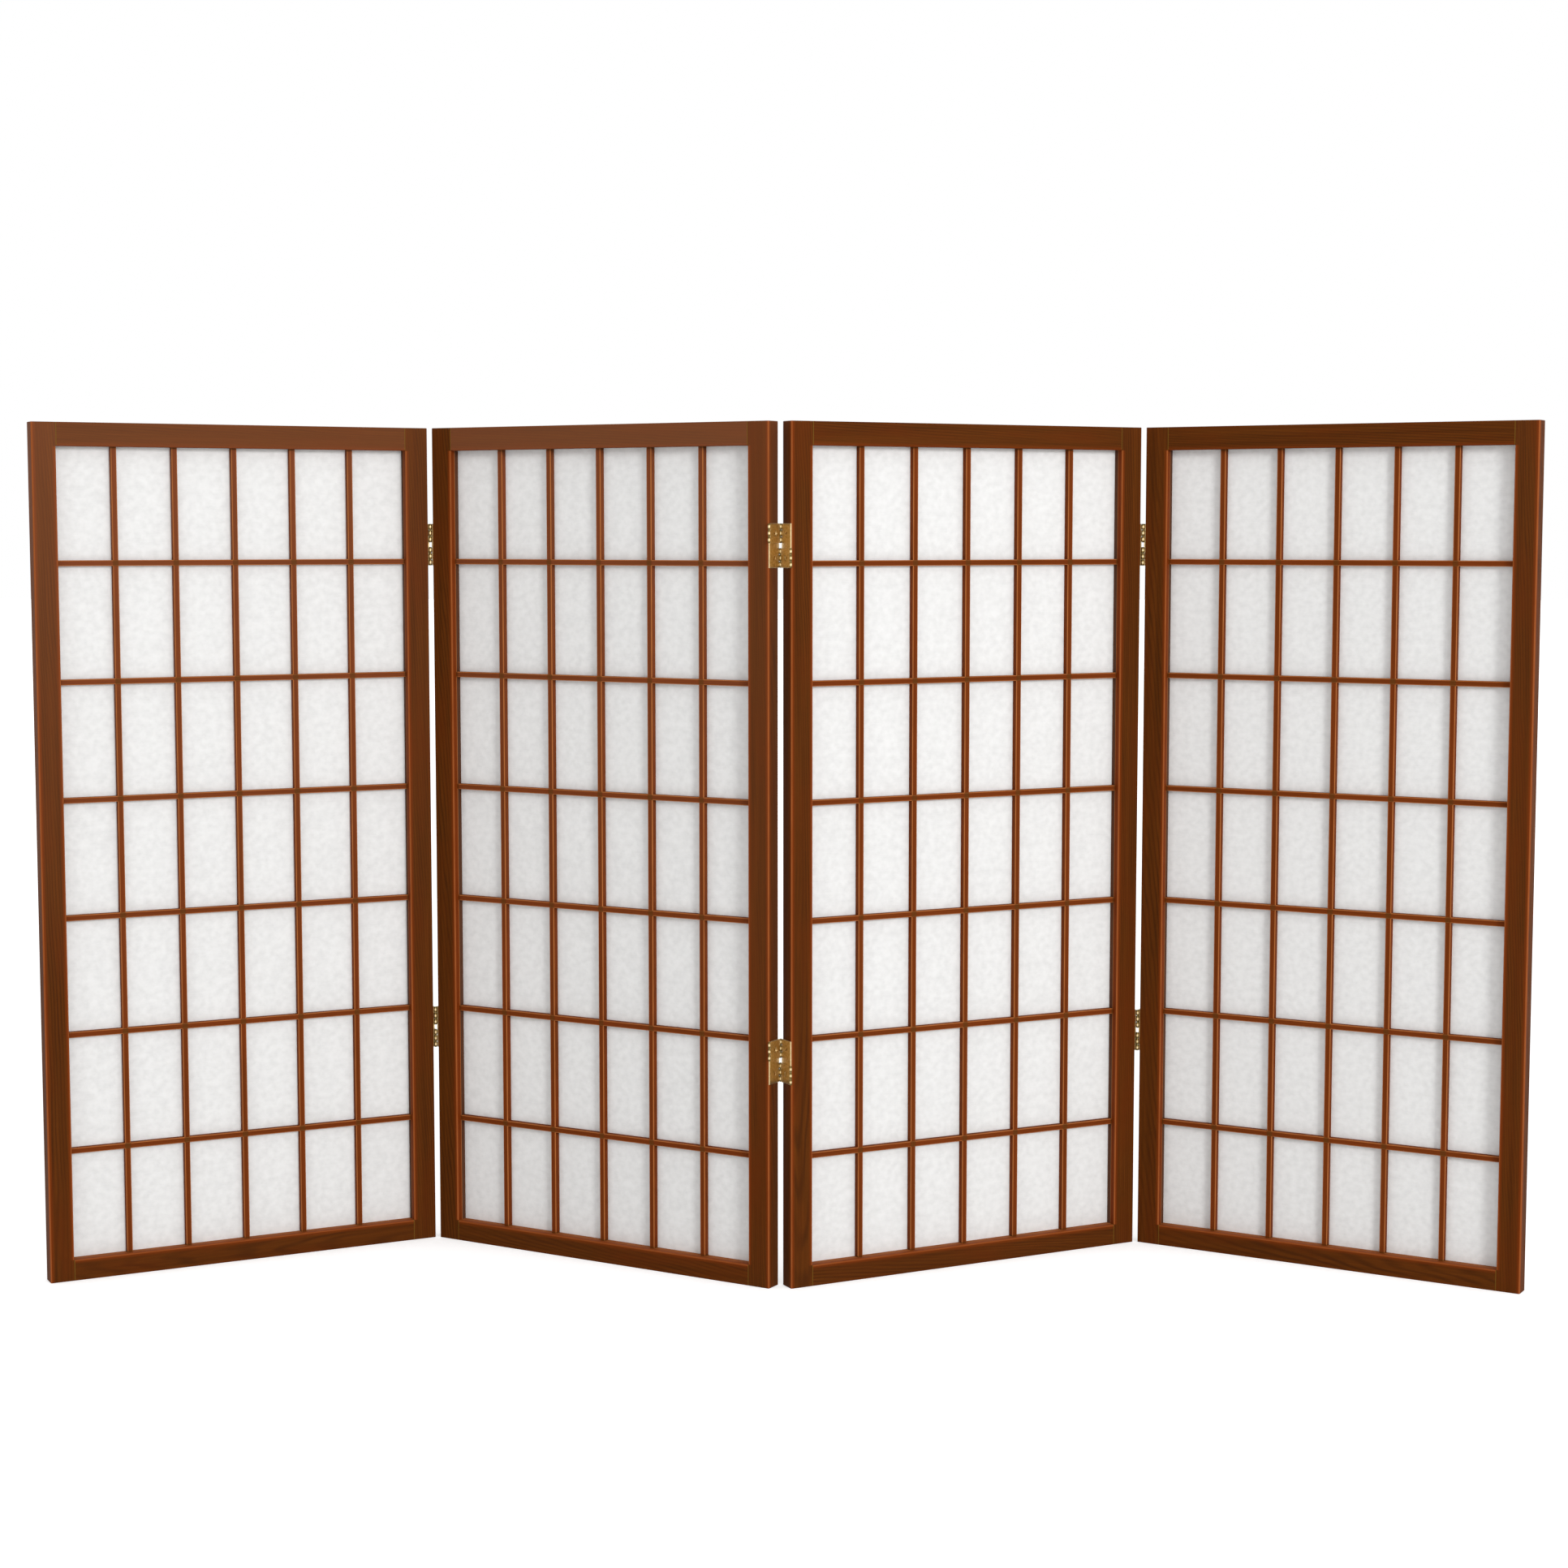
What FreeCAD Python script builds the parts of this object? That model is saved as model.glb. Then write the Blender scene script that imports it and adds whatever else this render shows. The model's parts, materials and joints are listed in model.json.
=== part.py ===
import FreeCAD, Part
import math
import os

# A free-standing screen of four papered lattice panels, joined edge to edge by two-way hinges.
# It stands in a zigzag. Lengths are in millimetres and angles in degrees.
# x runs along the screen, y from its front to its back, z upwards from the floor.

# The panels and how they stand
panel_height = 914.0
panel_width = 435.0
panel_thickness = 19.0
panel_turn = 28.9            # each panel's turn from the line of the screen

# The frame of a panel, rebated at the back to take the lattice, the paper and the beads
stile_width = 25.4
top_rail_height = 25.0
bottom_rail_height = 22.5
arris_chamfer = 0.8
rebate_width = 6.0
lip_thickness = 7.0          # wood left in front of the rebate
tenon_length = 12.0
tenon_thickness = 6.0
tenon_haunch = 4.0           # from the tenon to the rail's outer edge
mortise_clearance = 0.1      # around the tenon
mortise_end_clearance = 0.5

# The lattice, half-lapped where its bars cross, inside a thin border
lattice_depth = 7.0
bar_width = 6.0
column_count = 6
row_count = 7
bottom_row_loss = 5.4        # the bottom row is shorter than the others by this

# The paper behind the lattice, and the mitred beads that hold it
paper_thickness = 0.3
bead_recess = 0.5            # from the panel's back to the bead

# The two-way hinges: a leaf on each panel and two swing plates, one above the other, between them
upper_hinge_drop = 105.7     # from the panel's top to the upper hinge
lower_hinge_rise = 219.5     # from the floor to the lower hinge
hinge_half_height = 20.4
hinge_slot = 5.2             # between the two swing plates
leaf_thickness = 1.3
swing_thickness = 0.8
plate_clearance = 0.15       # between a leaf and a swing plate
plate_overhang = 0.3         # of each plate past the panel's faces
axis_offset = 2.1            # from a panel's face out to a pin's axis
knuckle_radius = 1.5
knuckle_count = 3            # on each pin, the middle one on the leaf
knuckle_gap = 0.25
knuckle_sides = 8            # flats that stand for a knuckle's round
pin_radius = 0.75
pin_clearance = 0.05

# The countersunk screws that hold the leaves
screw_head_radius = 2.5
screw_head_depth = 1.2
screw_shank_radius = 1.2
screw_length = 13.0
screw_clearance = 0.08
screw_window_radius = 3.1    # hole in each swing plate that clears the screw heads
small_round_sides = 6        # flats that stand for the round of a pin, a screw or its hole

# What follows from the sizes above
opening_width = panel_width - 2 * stile_width
opening_height = panel_height - top_rail_height - bottom_rail_height
opening_top = panel_height - top_rail_height
rebate_left = stile_width - rebate_width
rebate_right = panel_width - rebate_left
rebate_bottom = bottom_rail_height - rebate_width
rebate_top = opening_top + rebate_width
paper_front = lip_thickness + lattice_depth
bead_front = paper_front + paper_thickness
bead_back = panel_thickness - bead_recess
column_pitch = (opening_width + bar_width) / column_count
row_pitch = (opening_height + bottom_row_loss + bar_width) / row_count
plate_pitch = (leaf_thickness + swing_thickness) / 2 + plate_clearance
panel_gap = 2 * plate_pitch + leaf_thickness
hinge_height = 2 * hinge_half_height + hinge_slot
hinge_feet = [lower_hinge_rise, panel_height - upper_hinge_drop - hinge_height]
knuckle_height = (hinge_half_height - (knuckle_count - 1) * knuckle_gap) / knuckle_count
front_axis = -axis_offset
back_axis = panel_thickness + axis_offset
up = FreeCAD.Vector(0, 0, 1)
along = FreeCAD.Vector(1, 0, 0)
touching = 1e-4              # what lies closer than this is in the same place


def box(low, high):
    """A block between two opposite corners."""
    size = [b - a for a, b in zip(low, high)]
    return Part.makeBox(size[0], size[1], size[2], FreeCAD.Vector(low[0], low[1], low[2]))


def prism(outline, bottom, top):
    """A flat outline in x and y, raised from one height to another."""
    corners = [FreeCAD.Vector(x, y, bottom) for x, y in outline]
    face = Part.Face(Part.makePolygon(corners + corners[:1]))
    return face.extrude(up * (top - bottom))


def ring(centre, axis, radius, sides):
    """A regular outline round an axis, with its corners on the circle."""
    corners = []
    for n in range(sides):
        turn = FreeCAD.Rotation(axis, 360 * n / sides)
        corners.append(centre + turn.multVec(FreeCAD.Vector(0, radius, 0)))
    return Part.makePolygon(corners + corners[:1])


def round_bar(centre, axis, length, radius, sides):
    """A small round bar, drawn with a few flat sides because it is repeated so often."""
    return Part.Face(ring(centre, axis, radius, sides)).extrude(axis * length)


def round_hole(centre, axis, length, radius, sides):
    """The same for a hole, whose flats touch the circle, so that a bar of that radius turns in it."""
    return round_bar(centre, axis, length, radius / math.cos(math.pi / sides), sides)


def edges_along(shape, direction, places):
    """The straight edges that run along one axis and pass through one of the given places."""
    found = []
    for edge in shape.Edges:
        start, end = [vertex.Point for vertex in edge.Vertexes]
        if (end - start).cross(direction).Length > touching:
            continue
        across = start - direction * start.dot(direction)
        if any(across.isEqual(place, touching) for place in places):
            found.append(edge)
    return found


def mirror_across_panel(shape):
    """The same piece at the panel's other side."""
    return shape.mirror(FreeCAD.Vector(panel_width / 2, 0, 0), FreeCAD.Vector(1, 0, 0))


def fuse_all(shapes):
    whole = shapes[0]
    for shape in shapes[1:]:
        whole = whole.fuse(shape)
    return whole.removeSplitter()


# ---- the frame of a panel

def tenon(is_top, clearance, end_clearance):
    """The tongue at a rail's left end, or the mortise that takes it."""
    if is_top:
        low, high = rebate_top, panel_height - tenon_haunch
    else:
        low, high = tenon_haunch, rebate_bottom
    middle = (lip_thickness + panel_thickness) / 2
    front = middle - tenon_thickness / 2 - clearance
    back = middle + tenon_thickness / 2 + clearance
    return box((rebate_left - tenon_length - end_clearance, front, low - clearance),
               (rebate_left, back, high + clearance))


def left_stile(screw_holes):
    """A rebated upright with eased arrises, mortised for both rails."""
    outline = [(0, 0), (stile_width, 0), (stile_width, lip_thickness), (rebate_left, lip_thickness),
               (rebate_left, panel_thickness), (0, panel_thickness)]
    stile = prism(outline, 0, panel_height)
    arrises = [FreeCAD.Vector(0, 0, 0), FreeCAD.Vector(stile_width, 0, 0),
               FreeCAD.Vector(0, panel_thickness, 0)]
    stile = stile.makeChamfer(arris_chamfer, edges_along(stile, up, arrises))
    for is_top in (True, False):
        stile = stile.cut(tenon(is_top, mortise_clearance, mortise_end_clearance))
    for hole in screw_holes:
        stile = stile.cut(hole)
    return stile


def rail(is_top):
    """A rebated rail between the stiles, with a long and a short shoulder and a tenon at each end."""
    if is_top:
        inner, step, outer = opening_top, rebate_top, panel_height
    else:
        inner, step, outer = bottom_rail_height, rebate_bottom, 0.0
    lip = box((stile_width, 0, min(inner, outer)),
              (panel_width - stile_width, lip_thickness, max(inner, outer)))
    body = box((rebate_left, lip_thickness, min(step, outer)),
               (rebate_right, panel_thickness, max(step, outer)))
    tongue = tenon(is_top, 0.0, 0.0)
    whole = fuse_all([lip, body, tongue, mirror_across_panel(tongue)])
    arrises = [FreeCAD.Vector(0, 0, inner), FreeCAD.Vector(0, 0, outer),
               FreeCAD.Vector(0, panel_thickness, outer)]
    return whole.makeChamfer(arris_chamfer, edges_along(whole, along, arrises))


# ---- the lattice

def bar_centres_across():
    return [stile_width + column_pitch * (n + 1) - bar_width / 2 for n in range(column_count - 1)]


def bar_centres_up():
    return [opening_top - row_pitch * (n + 1) + bar_width / 2 for n in range(row_count - 1)]


def vertical_bar(x):
    """An upright bar, notched at its front where the level bars cross it."""
    front, back = lip_thickness, paper_front
    half = bar_width / 2
    bar = box((x - half, front, bottom_rail_height), (x + half, back, opening_top))
    for z in bar_centres_up():
        bar = bar.cut(box((x - bar_width, front, z - half),
                          (x + bar_width, front + lattice_depth / 2, z + half)))
    return bar


def horizontal_bar(z):
    """A level bar, unbroken at its front and notched at its back over the upright bars."""
    front, back = lip_thickness, paper_front
    half = bar_width / 2
    bar = box((stile_width, front, z - half), (panel_width - stile_width, back, z + half))
    for x in bar_centres_across():
        bar = bar.cut(box((x - half, front + lattice_depth / 2, z - bar_width),
                          (x + half, back, z + bar_width)))
    return bar


def lattice_border():
    """Four strips that line the rebate, flush with the frame's lip."""
    front, back = lip_thickness, paper_front
    side = box((rebate_left, front, rebate_bottom), (stile_width, back, rebate_top))
    head = box((stile_width, front, opening_top), (panel_width - stile_width, back, rebate_top))
    sill = box((stile_width, front, rebate_bottom), (panel_width - stile_width, back, bottom_rail_height))
    return [side, mirror_across_panel(side), head, sill]


# ---- the paper and its beads

def paper():
    return box((rebate_left, paper_front, rebate_bottom), (rebate_right, bead_front, rebate_top))


def back_beads():
    """Four mitred strips that press the paper against the lattice from behind."""
    outer = [(rebate_left, rebate_bottom), (rebate_right, rebate_bottom),
             (rebate_right, rebate_top), (rebate_left, rebate_top)]
    inner = [(stile_width, bottom_rail_height), (panel_width - stile_width, bottom_rail_height),
             (panel_width - stile_width, opening_top), (stile_width, opening_top)]
    beads = []
    for n in range(len(outer)):
        after = (n + 1) % len(outer)
        corners = [outer[n], outer[after], inner[after], inner[n]]
        points = [FreeCAD.Vector(x, bead_front, z) for x, z in corners]
        face = Part.Face(Part.makePolygon(points + points[:1]))
        beads.append(face.extrude(FreeCAD.Vector(0, bead_back - bead_front, 0)))
    return beads


# ---- the hinges, drawn about the middle of the gap between two panels in line

def knuckle_span(half_bottom, n):
    """Lowest and highest point of one of the knuckles on a pin."""
    low = half_bottom + n * (knuckle_height + knuckle_gap)
    return low, low + knuckle_height


def leaf_knuckle(half_bottom, axis):
    """The leaf's middle knuckle: the plate runs out past the panel's face and curls round the pin."""
    low, high = knuckle_span(half_bottom, 1)
    plate_outside = -panel_gap / 2
    plate_inside = plate_outside + leaf_thickness
    edge = -plate_overhang if axis < 0 else panel_thickness + plate_overhang
    arm = prism([(plate_outside, edge), (plate_inside, edge),
                 (leaf_thickness - knuckle_radius, axis), (-knuckle_radius, axis)], low, high)
    return fuse_all([arm, knuckle(axis, low, high)])


def knuckle(axis, low, high):
    return round_bar(FreeCAD.Vector(0, axis, low), up, high - low, knuckle_radius, knuckle_sides)


def bore(half_bottom, axis):
    return round_hole(FreeCAD.Vector(0, axis, half_bottom - knuckle_gap), up,
                      hinge_half_height + 2 * knuckle_gap, pin_radius + pin_clearance, small_round_sides)


def left_leaf(foot):
    """The leaf on the left panel's edge, with a knuckle at the upper front and one at the lower back."""
    upper_half = foot + hinge_half_height + hinge_slot
    plate = box((-panel_gap / 2, -plate_overhang, foot),
                (-panel_gap / 2 + leaf_thickness, panel_thickness + plate_overhang, foot + hinge_height))
    leaf = fuse_all([plate, leaf_knuckle(upper_half, front_axis), leaf_knuckle(foot, back_axis)])
    leaf = leaf.cut(bore(upper_half, front_axis))
    leaf = leaf.cut(bore(foot, back_axis))
    for z in screw_heights(foot):
        leaf = leaf.cut(screw(z, screw_clearance))
    return leaf


def turn_about_gap(shape):
    """The same piece turned half round, so that a left leaf or screw becomes a right one."""
    turned = shape.copy()
    turned.rotate(FreeCAD.Vector(0, panel_thickness / 2, 0), up, 180)
    return turned


def swing_plate(half_bottom):
    """The plate between the leaves, with two knuckles on the front pin and two on the back pin."""
    half = swing_thickness / 2
    pieces = [box((-half, -plate_overhang, half_bottom),
                  (half, panel_thickness + plate_overhang, half_bottom + hinge_half_height))]
    for n in (0, knuckle_count - 1):
        low, high = knuckle_span(half_bottom, n)
        pieces.append(box((-half, front_axis, low), (half, back_axis, high)))
        for axis in (front_axis, back_axis):
            pieces.append(knuckle(axis, low, high))
    plate = fuse_all(pieces)
    for axis in (front_axis, back_axis):
        plate = plate.cut(bore(half_bottom, axis))
    middle = FreeCAD.Vector(-swing_thickness, panel_thickness / 2, half_bottom + hinge_half_height / 2)
    window = round_hole(middle, along, 2 * swing_thickness, screw_window_radius, small_round_sides)
    return plate.cut(window)


def pin(half_bottom, axis):
    return round_bar(FreeCAD.Vector(0, axis, half_bottom), up, hinge_half_height, pin_radius,
                     small_round_sides)


# ---- the screws

def screw_heights(foot):
    """One screw at the middle of each half of a leaf."""
    return [foot + hinge_half_height / 2,
            foot + hinge_half_height + hinge_slot + hinge_half_height / 2]


def screw(z, clearance):
    """A countersunk screw into the left panel's edge, or with a clearance the hole that takes it."""
    face = FreeCAD.Vector(-panel_gap / 2 + leaf_thickness, panel_thickness / 2, z)
    neck = face - along * screw_head_depth
    tip = face - along * (screw_length + clearance)
    wide = ring(face, along, screw_head_radius + clearance, small_round_sides)
    narrow = ring(neck, along, screw_shank_radius + clearance, small_round_sides)
    head = Part.makeLoft([wide, narrow], True, True)
    shank = round_bar(tip, along, (neck - tip).Length, screw_shank_radius + clearance, small_round_sides)
    return fuse_all([head, shank])


def screw_holes_left(is_hinged):
    """Holes in a left stile, in the panel's own frame."""
    holes = []
    if is_hinged:
        for foot in hinge_feet:
            for z in screw_heights(foot):
                hole = turn_about_gap(screw(z, screw_clearance))
                hole.translate(FreeCAD.Vector(-panel_gap / 2, 0, 0))
                holes.append(hole)
    return holes


# ---- where each panel stands

def turned(x, y, angle):
    a = math.radians(angle)
    return x * math.cos(a) - y * math.sin(a), x * math.sin(a) + y * math.cos(a)


def fold_axis(n):
    """Fold n and n+1 turns on its back pins in the middle fold, and on its front pins in the outer two."""
    return back_axis if n == 2 else front_axis


def panel_angle(n):
    return panel_turn if n % 2 else -panel_turn


def chain():
    """Each panel's place, worked out from the first panel through the folds, then centred."""
    places = {1: (0.0, 0.0)}
    for n in (1, 2, 3):
        dx, dy = turned(panel_width + panel_gap / 2, fold_axis(n), panel_angle(n))
        back_x, back_y = turned(-panel_gap / 2, fold_axis(n), panel_angle(n + 1))
        x, y = places[n]
        places[n + 1] = (x + dx - back_x, y + dy - back_y)
    return places


def reach(places):
    """The screen's extent in x and y: the outer panels' ends and the hinges' idle knuckles."""
    left, _ = turned(0, panel_thickness, panel_angle(1))
    right, _ = turned(panel_width, panel_thickness, panel_angle(4))
    _, front = turned(panel_width + panel_gap / 2, front_axis, panel_angle(2))
    _, back = turned(panel_width + panel_gap / 2, back_axis, panel_angle(1))
    return ((places[1][0] + left, places[4][0] + right),
            (places[2][1] + front - knuckle_radius, places[1][1] + back + knuckle_radius))


panel_places = chain()
reach_x, reach_y = reach(panel_places)
middle_x = sum(reach_x) / 2
middle_y = sum(reach_y) / 2


def stand(shape, n, dx=0.0):
    """Move a piece from its panel's own frame to where panel n stands."""
    x, y = panel_places[n]
    moved = shape.copy()
    moved.translate(FreeCAD.Vector(dx, 0, 0))
    moved.rotate(FreeCAD.Vector(0, 0, 0), up, panel_angle(n))
    moved.translate(FreeCAD.Vector(x - middle_x, y - middle_y, 0))
    return moved


def save(name, shapes):
    """One file for each node. Like pieces that share a node stay separate solids."""
    solids = [solid for shape in shapes for solid in shape.Solids]
    whole = solids[0] if len(solids) == 1 else Part.makeCompound(solids)
    whole.exportStep(os.path.join("parts", name + ".step"))
    print(name, len(solids))


def panel_pieces(n):
    """Every piece of panel n, in the panel's own frame."""
    hinged_left = n > 1
    hinged_right = n < 4
    return {
        "left_stile": [left_stile(screw_holes_left(hinged_left))],
        "right_stile": [mirror_across_panel(left_stile(screw_holes_left(hinged_right)))],
        "top_rail": [rail(True)],
        "bottom_rail": [rail(False)],
        "lattice_border": lattice_border(),
        "vertical_bars": [vertical_bar(x) for x in bar_centres_across()],
        "horizontal_bars": [horizontal_bar(z) for z in bar_centres_up()],
        "paper": [paper()],
        "back_beads": back_beads(),
    }


def fold_pieces(n):
    """Every hinge piece between panels n and n+1, each with the panel that carries it."""
    upper_halves = [foot + hinge_half_height + hinge_slot for foot in hinge_feet]
    left_leaves = [left_leaf(foot) for foot in hinge_feet]
    left_screws = [screw(z, 0.0) for foot in hinge_feet for z in screw_heights(foot)]
    on_left, on_right = n, n + 1
    upper_carrier = on_left if fold_axis(n) == back_axis else on_right
    lower_carrier = on_right if fold_axis(n) == back_axis else on_left
    axes = (front_axis, back_axis)
    return {
        "left_leaves": (on_left, left_leaves),
        "right_leaves": (on_right, [turn_about_gap(leaf) for leaf in left_leaves]),
        "upper_swing_plates": (upper_carrier, [swing_plate(half) for half in upper_halves]),
        "lower_swing_plates": (lower_carrier, [swing_plate(foot) for foot in hinge_feet]),
        "upper_pins": (upper_carrier, [pin(half, axis) for half in upper_halves for axis in axes]),
        "lower_pins": (lower_carrier, [pin(foot, axis) for foot in hinge_feet for axis in axes]),
        "left_screws": (on_left, left_screws),
        "right_screws": (on_right, [turn_about_gap(piece) for piece in left_screws]),
    }


def main():
    os.makedirs("parts", exist_ok=True)
    for n in (1, 2, 3, 4):
        for name, shapes in panel_pieces(n).items():
            save("panel_%d_%s" % (n, name), [stand(shape, n) for shape in shapes])
    for n in (1, 2, 3):
        for name, (carrier, shapes) in fold_pieces(n).items():
            side = panel_width + panel_gap / 2 if carrier == n else -panel_gap / 2
            save("hinge_%d%d_%s" % (n, n + 1, name), [stand(shape, carrier, side) for shape in shapes])
    for n in (1, 2, 3):
        x, y = panel_places[n]
        ax, ay = turned(panel_width + panel_gap / 2, fold_axis(n), panel_angle(n))
        print("fold %d%d axis at %.4f %.4f" % (n, n + 1, x + ax - middle_x, y + ay - middle_y))
    print("reach x %.3f, y %.3f" % (reach_x[1] - reach_x[0], reach_y[1] - reach_y[0]))


main()
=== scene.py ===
import json
import math
import bmesh
import bpy
import numpy as np
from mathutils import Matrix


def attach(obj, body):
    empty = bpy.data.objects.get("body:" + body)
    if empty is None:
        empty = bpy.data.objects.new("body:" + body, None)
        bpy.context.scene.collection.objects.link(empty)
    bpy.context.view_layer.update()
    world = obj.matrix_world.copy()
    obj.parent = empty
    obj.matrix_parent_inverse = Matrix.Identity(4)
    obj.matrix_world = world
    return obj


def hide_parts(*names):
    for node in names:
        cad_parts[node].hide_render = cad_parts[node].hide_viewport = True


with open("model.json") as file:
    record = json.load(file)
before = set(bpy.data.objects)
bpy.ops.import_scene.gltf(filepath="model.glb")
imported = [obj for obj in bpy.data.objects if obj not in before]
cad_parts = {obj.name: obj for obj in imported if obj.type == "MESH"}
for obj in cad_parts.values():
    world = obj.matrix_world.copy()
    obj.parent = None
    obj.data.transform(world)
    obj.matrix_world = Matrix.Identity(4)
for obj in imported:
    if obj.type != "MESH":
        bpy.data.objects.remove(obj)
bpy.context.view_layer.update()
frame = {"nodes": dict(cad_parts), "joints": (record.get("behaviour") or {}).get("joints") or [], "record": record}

# A papered lattice screen of four panels. The wood, the paper and the brass are made here, each
# in the place and size of its CAD node. Lengths are in metres.
# In a panel, u runs along it from its left end, d from its front to its back, and z upwards.

rng = np.random.default_rng(7)
mm = 0.001
tiny = 1e-9        # keeps a division from meeting nought
panelNumbers = (1, 2, 3, 4)


# Where things stand

# a CAD node's corners, each one once
def nodePoints(name):
    mesh = frame["nodes"][name].data
    flat = np.empty(len(mesh.vertices) * 3)
    mesh.vertices.foreach_get("co", flat)
    return np.unique(np.round(flat.reshape(-1, 3), 7), axis=0)


# a panel's direction along, its direction from front to back, and its front left foot.
# The long way of the top rail's corners gives the direction, and the left stile's the foot.
def panelFrame(n):
    rail = nodePoints(f"panel_{n}_top_rail")[:, :2]
    along = np.linalg.svd(rail - rail.mean(0), full_matrices=False)[2][0]
    along = along * np.sign(along[0])
    across = np.array([-along[1], along[0]])
    stile = nodePoints(f"panel_{n}_left_stile")[:, :2]
    foot = (stile @ along).min() * along + (stile @ across).min() * across
    return {"number": n, "along": along, "across": across, "foot": foot}


# points as u, d and z in a panel: their way from its foot along it and across it, and their height
def intoPanel(panel, points):
    flat = points[:, :2] - panel["foot"]
    return np.column_stack([flat @ panel["along"], flat @ panel["across"], points[:, 2]])


# and back again: the foot plus u times the panel's direction along and d times the one across
def outOfPanel(panel, u, d, z):
    flat = panel["foot"] + np.outer(u, panel["along"]) + np.outer(d, panel["across"])
    return np.column_stack([flat, np.broadcast_to(z, len(flat))])


# a node's least and greatest u, d and z in its panel
def span(panel, node):
    points = intoPanel(panel, nodePoints(node))
    return points.min(0), points.max(0)


# the edges of like bars, as rows of low and high, from the values that their corners take
def barEdges(panel, node, direction):
    values = np.unique(np.round(intoPanel(panel, nodePoints(node))[:, direction], 5))
    return values.reshape(-1, 2)


panels = {n: panelFrame(n) for n in panelNumbers}


# the sizes that the panels share, read from the first one's nodes
def panelSizes():
    parts = ("left_stile", "right_stile", "top_rail", "bottom_rail", "lattice_border", "paper", "back_beads")
    spans = {part: span(panels[1], f"panel_1_{part}") for part in parts}
    low, high = ({part: ends[k] for part, ends in spans.items()} for k in (0, 1))
    return {
        "width": high["right_stile"][0], "thickness": high["left_stile"][1], "height": high["left_stile"][2],
        "stile": high["left_stile"][0], "top": low["top_rail"][2], "bottom": high["bottom_rail"][2],
        "lip": low["lattice_border"][1], "paperFront": low["paper"][1], "paperBack": high["paper"][1],
        "beadBack": high["back_beads"][1], "rebateLeft": low["paper"][0], "rebateRight": high["paper"][0],
        "rebateBottom": low["paper"][2], "rebateTop": high["paper"][2],
        "uprights": barEdges(panels[1], "panel_1_vertical_bars", 0),
        "levels": barEdges(panels[1], "panel_1_horizontal_bars", 2),
    }


size = panelSizes()
print("sizes", {k: np.round(v, 5).tolist() for k, v in size.items() if np.ndim(v) == 0})


# Profiles and meshes

sharp = (0, 0, 0)        # a corner's radius, fade and wear
plain, glued = (0, 0, 0), (0, 0, 1)        # a ring's inset, slant and glue mark


# A closed outline with rounded corners. Each corner is its two places, a radius, how far along the flats its
# wear and painted highlight fade, and how much of them it has. An arc point is the arc's centre plus the radius
# times the cosine of an angle along the first flat's normal and its sine along the second's. A point close to each
# end of an arc keeps the flat beside it flat, and one further on, but short of the flat's middle, ends the
# wear and the painted highlight. The whole of a corner has the sum of its two flats' normals, along which it is
# drawn in.
def roundedOutline(corners, arcSteps=5, shoulder=0.08 * mm, shoulderWear=0.55, middle=0.48):
    corners = np.array(corners, float)
    places = corners[:, :2]
    ahead = np.roll(places, -1, axis=0) - places
    lengths = np.hypot(*ahead.T)
    ahead = ahead / lengths[:, None]
    area = np.sum(places[:, 0] * np.roll(places[:, 1], -1) - np.roll(places[:, 0], -1) * places[:, 1])
    outwards = np.column_stack([ahead[:, 1], -ahead[:, 0]]) * np.sign(area)
    points, normals, wearAndLight = [], [], []
    for n, (a, b, radius, fade, worn) in enumerate(corners):
        place = np.array([a, b])
        before, after = outwards[n - 1], outwards[n]
        if radius == 0:
            points.append(place[None]); normals.append((before + after)[None]); wearAndLight.append([0.0])
            continue
        turn = np.linspace(0, math.pi / 2, arcSteps + 1)[:, None]
        normal = before * np.cos(turn) + after * np.sin(turn)
        arc = place - radius * (before + after) + radius * normal
        back, forth = ahead[n - 1], ahead[n]
        fadeBack = max(min(fade, lengths[n - 1] * middle - radius), 2 * shoulder)
        fadeForth = max(min(fade, lengths[n] * middle - radius), 2 * shoulder)
        points.append(np.vstack([arc[:1] - back * fadeBack, arc[:1] - back * shoulder, arc,
                                 arc[-1:] + forth * shoulder, arc[-1:] + forth * fadeForth]))
        normals.append(np.tile(before + after, (arcSteps + 5, 1)))
        wearAndLight.append(np.array([0.0, shoulderWear] + [1.0] * (arcSteps + 1) + [shoulderWear, 0.0]) * worn)
    return {"points": np.vstack(points), "normals": np.vstack(normals), "wearAndLight": np.concatenate(wearAndLight)}


# The outline of a stick with four sides: its corners go from the first side's front round to its back
def fourSided(first, second, front, back, corners, arcSteps=4):
    places = (first, front), (second, front), (second, back), (first, back)
    return roundedOutline([(*place, *corner) for place, corner in zip(places, corners)], arcSteps)


# The rings of an eased end: at an angle from 0 to 90 degrees the ring is drawn in by the radius times
# one less the cosine, and stands back from the end by the radius times one less the sine.
def easedEnd(end, direction, radius, steps=4, shoulder=0.05 * mm):
    turn = np.linspace(0, math.pi / 2, steps + 1)
    inset = radius * (1 - np.cos(turn))
    place = end + direction * radius * (1 - np.sin(turn))
    rings = np.column_stack([place, inset, np.zeros(steps + 1), np.zeros(steps + 1)])
    flat = [[end, radius + shoulder, 0, 0]]
    begin = [[end + direction * (radius + shoulder), 0, 0, 0]]
    return np.vstack([begin, rings, flat])


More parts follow.
